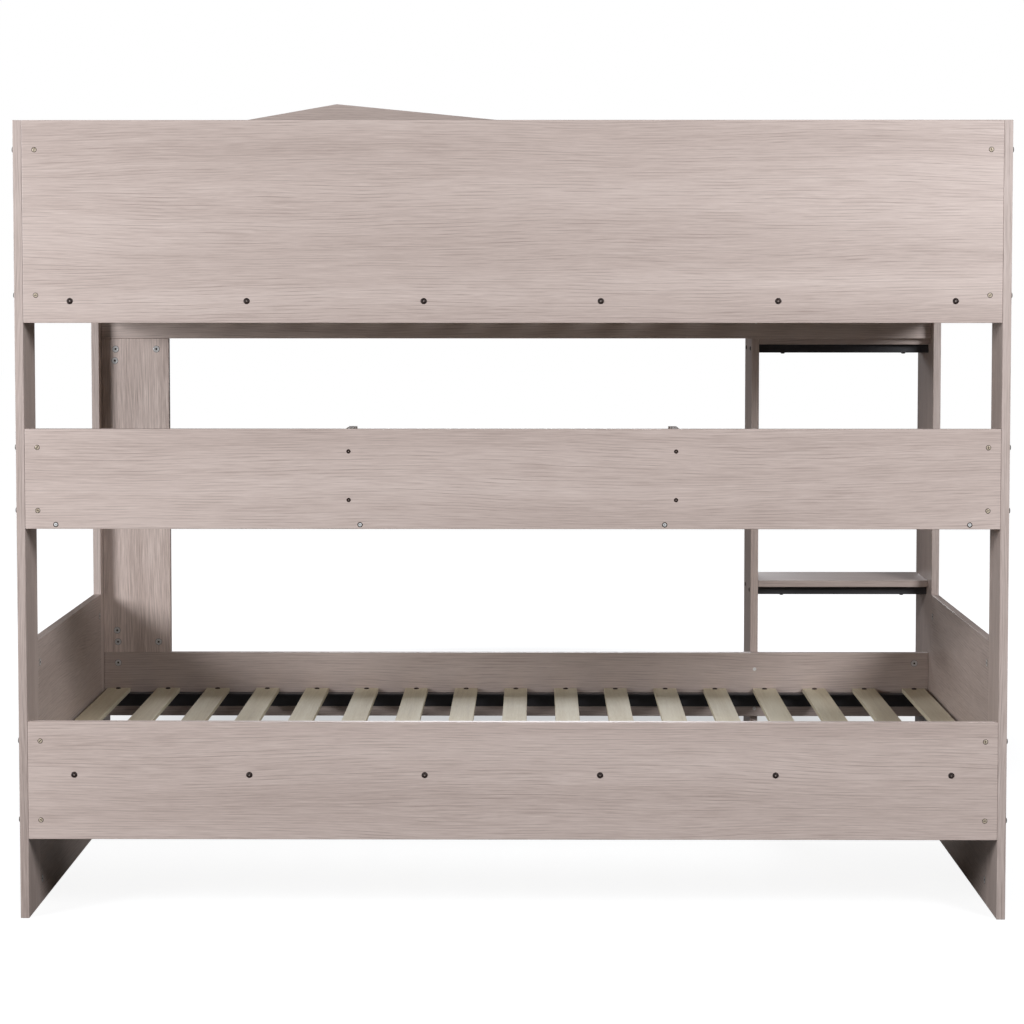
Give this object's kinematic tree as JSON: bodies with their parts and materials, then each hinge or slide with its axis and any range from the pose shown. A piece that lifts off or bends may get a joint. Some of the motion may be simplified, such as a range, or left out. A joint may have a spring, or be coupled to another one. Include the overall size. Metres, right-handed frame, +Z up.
{
  "type": "bunk bed with ladder",
  "caption": "Panel-built bunk bed with closed end frames, slatted bases, a peaked front guard, a wall-side ledge and a ladder of flat treads at one end.",
  "frame": {"origin": "middle of the footprint on the floor", "axes": "+X along the bed towards the ladder end, +Y from the wall side to the open side with the ladder, +Z up"},
  "size_m": [2.04, 1.146, 1.744],
  "materials": {
    "laminate": "matt laminated board with a fine grey-pink oak grain and banded edges",
    "slat_wood": "pale unvarnished softwood",
    "black_steel": "satin black powder coat"
  },
  "bodies": {
    "root": {"rear_post_left": "laminate", "front_post_left": "laminate", "end_board_lower_left": "laminate", "end_board_upper_left": "laminate", "rear_post_right": "laminate", "front_post_right": "laminate", "end_board_lower_right": "laminate", "end_board_upper_right": "laminate", "wall_board_lower": "laminate", "wall_board_middle": "laminate", "wall_board_upper": "laminate", "ledge_shelf": "laminate", "ledge_divider_left": "laminate", "ledge_divider_right": "laminate", "front_rail_lower": "laminate", "front_rail_upper": "laminate", "front_stile": "laminate", "front_guard": "laminate", "ladder_side_inner": "laminate", "ladder_tread_1": "laminate", "ladder_tread_2": "laminate", "ladder_tread_3": "laminate", "ladder_tread_4": "laminate", "tread_bar_rear_1": "black_steel", "tread_bar_rear_2": "black_steel", "tread_bar_rear_3": "black_steel", "tread_bar_rear_4": "black_steel", "tread_bar_front_1": "black_steel", "tread_bar_front_2": "black_steel", "tread_bar_front_3": "black_steel", "tread_bar_front_4": "black_steel", "slat_angle_wall_lower": "black_steel", "slat_angle_front_lower": "black_steel", "slat_angle_wall_upper": "black_steel", "slat_angle_front_upper": "black_steel", "slat_lower_01": "slat_wood", "slat_lower_02": "slat_wood", "slat_lower_03": "slat_wood", "slat_lower_04": "slat_wood", "slat_lower_05": "slat_wood", "slat_lower_06": "slat_wood", "slat_lower_07": "slat_wood", "slat_lower_08": "slat_wood", "slat_lower_09": "slat_wood", "slat_lower_10": "slat_wood", "slat_lower_11": "slat_wood", "slat_lower_12": "slat_wood", "slat_lower_13": "slat_wood", "slat_lower_14": "slat_wood", "slat_lower_15": "slat_wood", "slat_lower_16": "slat_wood", "slat_lower_17": "slat_wood", "slat_mat_upper": "slat_wood"}
  },
  "joints": []
}
